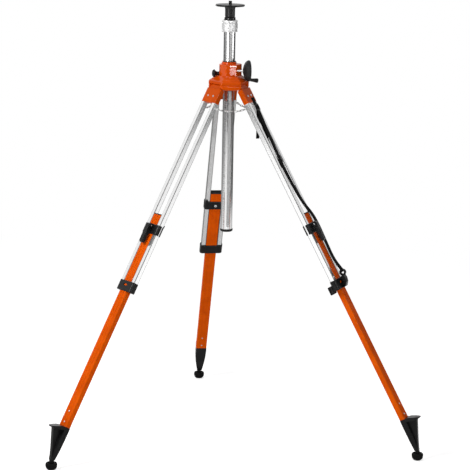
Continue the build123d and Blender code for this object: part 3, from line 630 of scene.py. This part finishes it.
def scale_patches():
    """Ticks each 10 mm, longer each 50 mm, with the centimetres in plain bar figures each 100 mm."""
    patches = []
    for reading in SCALE_READINGS:
        z = SCALE_ZERO - reading
        length = TICK_SHORT if reading % 50 else TICK_LONG
        patches.append(scale_patch((TICK_LEFT, TICK_LEFT + length), (z - TICK_HALF, z + TICK_HALF)))
        if reading % 100:
            continue
        for place, digit in enumerate(str(reading // 10)):
            left = FIGURE_LEFT + FIGURE_STEP * place
            for bar in DIGIT_BARS[digit]:
                across, up = zip(*BAR_ENDS[bar])
                across = (left + BAR_ACROSS * min(across) - BAR_HALF, left + BAR_ACROSS * max(across) + BAR_HALF)
                foot = z + FIGURE_LIFT
                up = (foot + BAR_UP * min(up) - BAR_HALF, foot + BAR_UP * max(up) + BAR_HALF)
                patches.append(scale_patch(across, up))
    return patches


finish_piece(surfaces("column_scale", scale_patches()), INK, "column", "black_plastic")

# Crank and brake knob
finish_piece(turned_piece("wheel_skin", WHEEL, rounding=3.0, origin=(0, CRANK_Y, CRANK_Z), axis=(1, 0, 0)),
             GRIPPY, "crank", "black_plastic", "handwheel")
finish_piece(turned_piece("grip_skin", GRIP, rounding=2.0, origin=(GRIP_X, CRANK_Y, CRANK_Z - GRIP_DROP),
                          axis=(math.cos(GRIP_SPLAY), 0, -math.sin(GRIP_SPLAY))),
             BLACK, "grip", "black_plastic", "crank_grip")
finish_piece(turned_piece("knob_skin", KNOB, rounding=2.2, origin=(0, 0, KNOB_Z), axis=(-1, 0, 0)),
             BLACK, "knob", "black_plastic", "clamp_knob")


def socket_screw(origin, axis, radius, height, sides=48):
    """A button head with a hexagon socket: its inner rings swell to the hexagon's corners."""
    angle = np.linspace(0, 2 * np.pi, sides, endpoint=False)
    corner = np.mod(angle, np.pi / 3) - np.pi / 6
    hexagon = 0.5 * radius * math.cos(np.pi / 6) / np.cos(corner)
    rim = np.full(sides, float(radius))
    rings = [(rim, -1.0), (rim, 0.35 * height), (0.93 * rim, 0.7 * height), (0.74 * rim, height),
             (1.06 * hexagon, height), (hexagon, 0.92 * height), (hexagon, 0.25 * height), (0 * rim, 0.2 * height)]
    axis = unit(axis)
    side, other = square_to(axis, 2)
    spin = np.cos(angle)[:, None] * side + np.sin(angle)[:, None] * other
    return np.stack([np.asarray(origin) + reach[:, None] * spin + level * axis for reach, level in rings], axis=1)


def leg_screws(name):
    """Shoulder screws, clamp screw, lever pin and chain pins of one leg."""
    _, out, across, _ = leg_axes(name)
    shoulder = leg_points(name, [(SHOULDER_SCREW_H, side * SHOULDER_SCREW_T, SHOULDER_SCREW_S) for side in (-1, 1)])
    heads = [socket_screw(place, out, radius=4.5, height=2.6) for place in shoulder]
    heads.append(socket_screw(leg_points(name, (CLAMP_SCREW_H, 0, CLAMP_SCREW_S)), -out, radius=6.5, height=2.6))
    rods = [lathe(softened_outline(LEVER_PIN, rounding=0.5), segments=48,
                  origin=leg_points(name, (LEVER_PIN_H, 0, LEVER_PIN_S)), axis=across)]
    rods += [lathe(softened_outline(CHAIN_PIN, rounding=0.3), segments=48,
                   origin=leg_points(name, (CLIP_H, 0, CLIP_S)), axis=side * across) for side in (-1, 1)]
    finish_piece(surfaces("screws_" + name, heads + rods, wrap_u=True), ZINC, "leg_" + name, "zinc_steel",
                 "leg_bolts_" + name)


def leg_rivets(name):
    """Domed rivets near the lower end of an inner leg, on both broad faces."""
    out = leg_axes(name)[1]
    domes = [lathe(softened_outline(RIVET, rounding=0.6), segments=32, axis=side * out,
                   origin=leg_points(name, (side * RIVET_H, 0, s))) for side in (-1, 1) for s in RIVETS_S]
    finish_piece(surfaces("rivets_" + name, domes, wrap_u=True), ZINC, "shank_" + name, "zinc_steel")


def boot_skin(name):
    """Rubber boot: a bowl with two grooves, a dished top and a stem hole."""
    turn = math.radians(LEGS[name])
    place = (BOOT_REACH * math.cos(turn), BOOT_REACH * math.sin(turn), 0)
    finish_piece(turned_piece("boot_skin_" + name, BOOT, rounding=1.4, origin=place), SOFT_BLACK, "shank_" + name,
                 "black_rubber", "boot_" + name)


# Spreader chain: oval wire links on a parabola, five from each clip to the middle of a span.
# The legs stand a third of a turn apart, so from one leg to the next a span heads 150 degrees off the leg's own turn.
LINK_PITCH, LINK_WIRE, LINK_HALF_WIDTH, LINK_COUNT = 13.0, 2.6, 3.3, 5
LINK_SQUARENESS = 0.75
CHAIN_SAG = 12.0
SPAN_HEADING, SPAN_HALF_TURN = 150.0, math.radians(60)


def chain_links(name, side, steps=40):
    """Squarish wire ovals, powers of cosine and sine, whose planes turn a quarter from one to the next."""
    clip = leg_points(name, (CLIP_H, side * CLIP_T, CLIP_S))
    reach = PIN_REACH + CLIP_S * math.sin(LEG_TILT) + CLIP_H * math.cos(LEG_TILT)
    half_span = reach * math.sin(SPAN_HALF_TURN) - CLIP_T / 2
    heading = math.radians(LEGS[name] + side * SPAN_HEADING)
    ahead = np.array([math.cos(heading), math.sin(heading), 0.0])
    up = np.array([0.0, 0.0, 1.0])
    k = np.arange(LINK_COUNT)[:, None, None]
    run = half_span - LINK_PITCH * (LINK_COUNT - 0.5 - k)
    drop = CHAIN_SAG * (1 - (1 - run / half_span) ** 2)
    fall = 2 * CHAIN_SAG / half_span * (1 - run / half_span)
    forward = unit(ahead - fall * up)
    lateral = np.cross(up, ahead)
    normal = np.cross(forward, lateral)
    roll = np.radians(45 + 90 * k)
    wide = np.cos(roll) * lateral + np.sin(roll) * normal
    angle = np.linspace(0, 2 * np.pi, steps, endpoint=False)[None, :, None]
    half_length = LINK_PITCH / 2 + LINK_WIRE / 2
    along = half_length * np.sign(np.cos(angle)) * np.abs(np.cos(angle)) ** LINK_SQUARENESS
    across = LINK_HALF_WIDTH * np.sign(np.sin(angle)) * np.abs(np.sin(angle)) ** LINK_SQUARENESS
    path = clip + run * ahead - drop * up + along * forward + across * wide
    return list(tube_along(path, LINK_WIRE / 2))


for name in LEGS:
    leg_screws(name)
    leg_rivets(name)
    boot_skin(name)
    for side, word in ((-1, "first"), (1, "second")):
        links = surfaces(f"links_{name}_{word}", chain_links(name, side), wrap_u=True, wrap_v=True)
        finish_piece(links, CHAIN_STEEL, "chain_" + name, "zinc_steel", "chain_" + name)
        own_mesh(links)

# Carry strap on the right leg, through the same (h, t, s) route points as its solid
STRAP_WIDTH, STRAP_THICK = 25.0, 1.8
END_TAPER = 0.98
STRAP_ROUTE = [(14.4, 14, 64), (14.5, 14.2, 132), (14.4, 0, 212), (14.6, -10, 310), (14.5, -14, 420), (14.6, -6, 510),
               (16.5, 12, 580), (22, 28, 622), (25, 30, 676), (21.5, 28, 770), (22, 22, 846), (35, 18, 889)]
RETURN_ROUTE = [(11.8, -9, 150), (10.6, -3, 174), (6, 0, 208), (-3, 1, 252), (-9, 1.5, 300), (-8, 1, 350),
                (11, -4, 398)]
TAIL_ROUTE = [(11.6, 13, 124), (8.5, 12, 142), (-42, 2, 232)]
BUCKLE_ROUTE = [(15.4, 14, 90), (15.6, 14, 101), (20.2, 14, 107), (20.2, 14, 114), (15.6, 14, 121), (15.4, 14, 133)]
RING_ROUTE = [(34, 18, 885), (35, 25.6, 889), (35, 25.6, 901), (35, 18, 904), (35, 10.4, 901), (35, 10.4, 889),
              (34, 18, 885)]
FOLD_ROUTE = [(27.5, 20, 862), (31.5, 19, 876), (35, 18, 890)]


def spline_points(route):
    """Points in mm along the NURBS line that a route on the right leg controls."""
    data = bpy.data.curves.new("route", "CURVE")
    data.dimensions = "3D"
    data.resolution_u = 16
    spline = data.splines.new("NURBS")
    spline.points.add(len(route) - 1)
    corners = leg_points("right", route) * MM
    spline.points.foreach_set("co", np.column_stack([corners, np.ones(len(corners))]).ravel())
    spline.order_u = 3
    spline.use_endpoint_u = True
    holder = linked_object("route", data)
    bpy.context.view_layer.update()
    line = bpy.data.meshes.new_from_object(holder)
    points = np.empty(len(line.vertices) * 3)
    line.vertices.foreach_get("co", points)
    bpy.data.objects.remove(holder)
    bpy.data.meshes.remove(line)
    return points.reshape(-1, 3) / MM


def strap_piece(name, route, width, thick, lean=6.0):
    """A webbing ribbon along a route, closed at its ends by slightly smaller rings that run into the path.

    Its length is in U and its girth in V; lean tips its width outwards, in degrees.
    """
    path = spline_points(route)
    _, out, across, _ = leg_axes("right")
    wide = across * math.cos(math.radians(lean)) + out * math.sin(math.radians(lean))
    band = swept(path, width / 2, thick / 2, np.broadcast_to(wide, path.shape))
    middle = band.mean(axis=1, keepdims=True)
    tapered = middle + (band - middle) * END_TAPER
    first, last = (np.broadcast_to(path[end], band[:1].shape) for end in (0, -1))
    band = np.concatenate([first, tapered[:1], band[1:-1], tapered[-1:], last])
    step = np.linalg.norm(np.diff(path, axis=0), axis=1)
    run = np.concatenate([[0.0], np.cumsum(step)])
    run = np.concatenate([run[:1], run, run[-1:]])[:, None] * MM
    girth = np.linspace(0, 2 * width * MM, band.shape[1])[None, :]
    uv = np.stack(np.broadcast_arrays(run, girth), axis=-1).reshape(-1, 2)
    obj = mesh_object(name, band, grid_faces(band.shape[0], band.shape[1], False, True), uv=uv)
    finish_piece(obj, WEBBING, "leg_right", "black_webbing")
    return obj, path, float(step.sum()) * MM


strap, strap_path, strap_length = strap_piece("strap_run", STRAP_ROUTE, STRAP_WIDTH, STRAP_THICK)
strand, strand_path, strand_length = strap_piece("strap_return", RETURN_ROUTE, STRAP_WIDTH, STRAP_THICK)
tail, _, tail_length = strap_piece("strap_tail", TAIL_ROUTE, STRAP_WIDTH, STRAP_THICK, lean=14.0)
buckle_loop = strap_piece("strap_loop", BUCKLE_ROUTE, width=STRAP_WIDTH - 1, thick=1.2, lean=0.0)[0]
ring_loop = strap_piece("strap_ring_loop", RING_ROUTE, width=11.0, thick=2.4, lean=90.0)[0]
fold = strap_piece("strap_fold", FOLD_ROUTE, width=20.0, thick=6.0, lean=12.0)[0]
print("strap length", strap_length, "return strand", strand_length, "tail", tail_length)
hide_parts("carry_strap")

# Camera at the photograph's viewpoint, in metres
CAMERA_PLACE = (-1.09726, -8.03129, 2.53912)
CAMERA_TURN, CAMERA_PITCH, CAMERA_ROLL = np.radians((-8.04983, 11.43277, -1.04))
FOCAL_PIXELS, PICTURE_PIXELS, SENSOR_MM = 1896.2, 470.0, 36.0
VIEW_END = 100.0


def aimed(obj, across, up, back, place):
    """Turns an object's own X, Y and Z to three directions and moves it to a place."""
    pose = np.eye(4)
    pose[:3] = np.column_stack([across, up, back, place])
    obj.matrix_world = Matrix(pose)


def make_camera():
    """A camera aimed by turn, pitch and roll, with its focal length given in pixels of the picture."""
    flat = np.array([-math.sin(CAMERA_TURN), math.cos(CAMERA_TURN), 0.0])
    forward = flat * math.cos(CAMERA_PITCH) + np.array([0, 0, -math.sin(CAMERA_PITCH)])
    level = np.array([math.cos(CAMERA_TURN), math.sin(CAMERA_TURN), 0.0])
    down = np.cross(forward, level)
    right = level * math.cos(CAMERA_ROLL) + down * math.sin(CAMERA_ROLL)
    low = down * math.cos(CAMERA_ROLL) - level * math.sin(CAMERA_ROLL)
    data = bpy.data.cameras.new("viewpoint")
    data.sensor_width = SENSOR_MM
    data.lens = SENSOR_MM * FOCAL_PIXELS / PICTURE_PIXELS
    data.clip_end = VIEW_END
    camera = linked_object("viewpoint", data)
    aimed(camera, right, -low, -forward, CAMERA_PLACE)
    bpy.context.scene.camera = camera


# Studio: the floor's size in mm, its glow where it is seen, and the metres over which that goes to white
FLOOR_HALF, FLOOR_Z = 30000.0, -0.5
FLOOR_GREY, FLOOR_ROUGH = 0.85, 0.9
FLOOR_GLOW, GLOW_NEAR, GLOW_FAR = 0.635, 1.6, 4.5
WORLD_LIGHT = 0.15


def seen_directly(tree):
    """One where a ray comes from the camera, a reflection or through something clear."""
    ray = add(tree, "ShaderNodeLightPath").outputs
    first = calculated(tree, "MAXIMUM", ray["Is Camera Ray"], ray["Is Glossy Ray"])
    return calculated(tree, "MAXIMUM", first, ray["Is Transmission Ray"])


def mixed_shader(tree, share, first, second):
    """Two shaders mixed by the share of the second."""
    mix = add(tree, "ShaderNodeMixShader", Fac=share)
    tree.links.new(first, mix.inputs[1])
    tree.links.new(second, mix.inputs[2])
    return mix.outputs["Shader"]


def make_world():
    """Soft light all round, seen as white."""
    world = bpy.data.worlds.new("studio")
    bpy.context.scene.world = world
    world.use_nodes = True
    tree = world.node_tree
    light = fill(tree, tree.nodes["Background"], Color=grey(1.0), Strength=WORLD_LIGHT)
    white = add(tree, "ShaderNodeBackground", Color=grey(1.0), Strength=1.0)
    both = mixed_shader(tree, seen_directly(tree), light.outputs["Background"], white.outputs["Background"])
    fill(tree, tree.nodes["World Output"], Surface=both)


def lying_card(half, height):
    """A level square over the tripod's foot."""
    x, y = np.meshgrid([-half, half], [-half, half], indexing="ij")
    return np.stack([x, y, np.full_like(x, height)], axis=-1)


def sector_card(reaches, turns, height, steps=(9, 17)):
    """A level part of a ring between two reaches and two turns from the front, in degrees to the right."""
    reach, turn = np.linspace(*reaches, steps[0]), np.radians(np.linspace(*turns, steps[1]))
    reach, turn = np.meshgrid(reach, turn, indexing="ij")
    return np.stack([reach * np.sin(turn), -reach * np.cos(turn), np.full_like(reach, height)], axis=-1)


def standing_card(reach, turns, heights, steps=24):
    """A round wall between two turns from the front, in degrees to the right, and two heights."""
    turn, z = np.meshgrid(np.radians(np.linspace(*turns, steps)), heights, indexing="ij")
    return np.stack([reach * np.sin(turn), -reach * np.cos(turn), z], axis=-1)


def make_floor():
    """A pale floor that glows where it is seen, near enough to white to leave only the shadow, and white far away."""
    floor = surfaces("floor", [lying_card(FLOOR_HALF, FLOOR_Z)])
    material, tree = node_material("pale_floor")
    bsdf = fill(tree, tree.nodes["Principled BSDF"], Base_Color=grey(FLOOR_GREY), Roughness=FLOOR_ROUGH)
    glow = add(tree, "ShaderNodeEmission", Color=grey(1.0), Strength=FLOOR_GLOW)
    white = add(tree, "ShaderNodeEmission", Color=grey(1.0), Strength=1.0)
    place = add(tree, "ShaderNodeTexCoord").outputs["Object"]
    reach = add(tree, "ShaderNodeVectorMath", operation="LENGTH", Vector=place)
    far = add(tree, "ShaderNodeMapRange", interpolation_type="SMOOTHSTEP", From_Min=GLOW_NEAR, From_Max=GLOW_FAR,
              Value=reach.outputs["Value"])
    near = add(tree, "ShaderNodeAddShader")
    tree.links.new(bsdf.outputs["BSDF"], near.inputs[0])
    tree.links.new(glow.outputs["Emission"], near.inputs[1])
    seen = mixed_shader(tree, far.outputs["Result"], near.outputs["Shader"], white.outputs["Emission"])
    both = mixed_shader(tree, seen_directly(tree), bsdf.outputs["BSDF"], seen)
    fill(tree, tree.nodes["Material Output"], Surface=both)
    floor.data.materials.append(material)


# Pool of light on the floor that reflections see: its middle in metres, and stops of (metres from it, brightness)
POOL_HALF, POOL_Z = 20000.0, 2.0
POOL_MIDDLE = (0.4, -4.4, 0.0)
POOL_STOPS = ((0.0, 1.6), (2.5, 1.4), (7.2, 1.0), (8.4, 0.55), (10.0, 0.3), (20.0, 0.1))

# Other cards that only reflections see: the sizes that their shapes take, in mm and degrees, and their brightness
LYING_CARDS = {
    "foot_card": (1200.0, 4.0, 0.6),
    "ceiling_card": (5000.0, 6500.0, 0.3),
}
SECTOR_CARDS = {
    "front_sector_card": ((5000.0, 12000.0), (6, 48), 8.0, 0.1),
    "left_pool_card": ((5600.0, 12500.0), (-58, -40), 8.0, 1.3),
    "side_card": ((5500.0, 13000.0), (70, 178), 6.0, 0.05),
}
STANDING_CARDS = {
    "front_card": (9500.0, (-75, 80), (0.0, 3000.0), 0.12),
    "right_card": (7000.0, (80, 124), (0.0, 5000.0), 0.12),
    "rear_card": (7000.0, (124, 175), (1300.0, 5000.0), 0.85),
    "left_softbox": (5000.0, (-52, -28), (1080.0, 1600.0), 7.2),
    "left_grey_card": (5000.0, (-80, -52), (1080.0, 1600.0), 0.8),
    "right_softbox": (5000.0, (50, 78), (1100.0, 1320.0), 2.6),
    "collar_softbox": (5000.0, (50, 84), (1320.0, 1600.0), 5.0),
    "shade_card": (1500.0, (-25, 48), (1130.0, 1440.0), 0.02),
    "left_shade_card": (1500.0, (-62, -25), (1250.0, 1400.0), 0.02),
}
SAMPLED_ABOVE = 2.0


def pool_brightness(tree, stops):
    """A brightness that runs straight between stops of (metres from the pool's middle, brightness)."""
    furthest = stops[-1][0]
    place = add(tree, "ShaderNodeTexCoord").outputs["Object"]
    reach = add(tree, "ShaderNodeVectorMath", operation="DISTANCE", Vector=place)
    reach.inputs[1].default_value = POOL_MIDDLE
    ramp = add(tree, "ShaderNodeFloatCurve", Value=calculated(tree, "DIVIDE", reach.outputs["Value"], furthest))
    marks = ramp.mapping.curves[0].points
    while len(marks) < len(stops):
        marks.new(0.5, 0.5)
    for mark, (metres, value) in zip(marks, stops):
        mark.location = (metres / furthest, value)
        mark.handle_type = "VECTOR"
    ramp.mapping.update()
    return ramp.outputs["Value"]


def reflected_card(name, grid, brightness, stops=()):
    """A card that only reflections see, evenly bright, or with a pool of light where stops are given."""
    card = surfaces(name, [grid])
    material, tree = node_material(name)
    tree.nodes.remove(tree.nodes["Principled BSDF"])
    glow = add(tree, "ShaderNodeEmission", Strength=brightness)
    if stops:
        fill(tree, glow, Strength=pool_brightness(tree, stops))
    fill(tree, tree.nodes["Material Output"], Surface=glow.outputs["Emission"])
    material.cycles.emission_sampling = "FRONT_BACK" if brightness > SAMPLED_ABOVE else "NONE"
    card.data.materials.append(material)
    card.visible_camera = False
    card.visible_diffuse = False
    card.visible_shadow = False


def make_cards():
    """What the shiny parts mirror: a pool of light on the floor, grey walls, a dim ceiling, softboxes and shades."""
    reflected_card("floor_card", lying_card(POOL_HALF, POOL_Z), POOL_STOPS[0][1], POOL_STOPS)
    for shape, cards in ((lying_card, LYING_CARDS), (sector_card, SECTOR_CARDS), (standing_card, STANDING_CARDS)):
        for name, (*sizes, brightness) in cards.items():
            reflected_card(name, shape(*sizes), brightness)


# Lamps: place and aim in metres, width and height in metres, watts
LAMPS = {
    "key_lamp": ((-3.6, -2.0, 3.8), (0.0, 0.0, 1.0), (1.1, 1.1), 124.0),
    "left_strip": ((-3.3, -3.7, 1.85), (0.0, 0.0, 1.6), (0.8, 1.3), 10.0),
    "front_lamp": ((2.0, -7.6, 3.3), (0.0, 0.0, 1.0), (2.0, 1.2), 140.0),
    "top_lamp": ((0.4, -0.8, 5.4), (0.0, 0.0, 1.0), (0.8, 0.8), 18.0),
    "back_lamp": ((-1.1, 6.4, 3.2), (0.0, 0.0, 1.0), (2.0, 1.2), 80.0),
    "cover_lamp": ((0.829, -5.95, 0.938), (0.01, -0.05, 1.62), (0.07, 0.085), 0.24),
}


def make_lamp(name, place, aim, size, watts):
    """A soft lamp of given width and height aimed at a point."""
    data = bpy.data.lights.new(name, "AREA")
    data.shape = "RECTANGLE"
    data.size, data.size_y = size
    data.energy = watts
    back = unit(np.subtract(place, aim))
    side = unit(np.cross((0.0, 0.0, 1.0), back))
    aimed(linked_object(name, data), side, np.cross(back, side), back, place)


make_camera()
make_world()
make_floor()
make_cards()
for name, settings in LAMPS.items():
    make_lamp(name, *settings)
bpy.context.scene.view_settings.view_transform = "Standard"
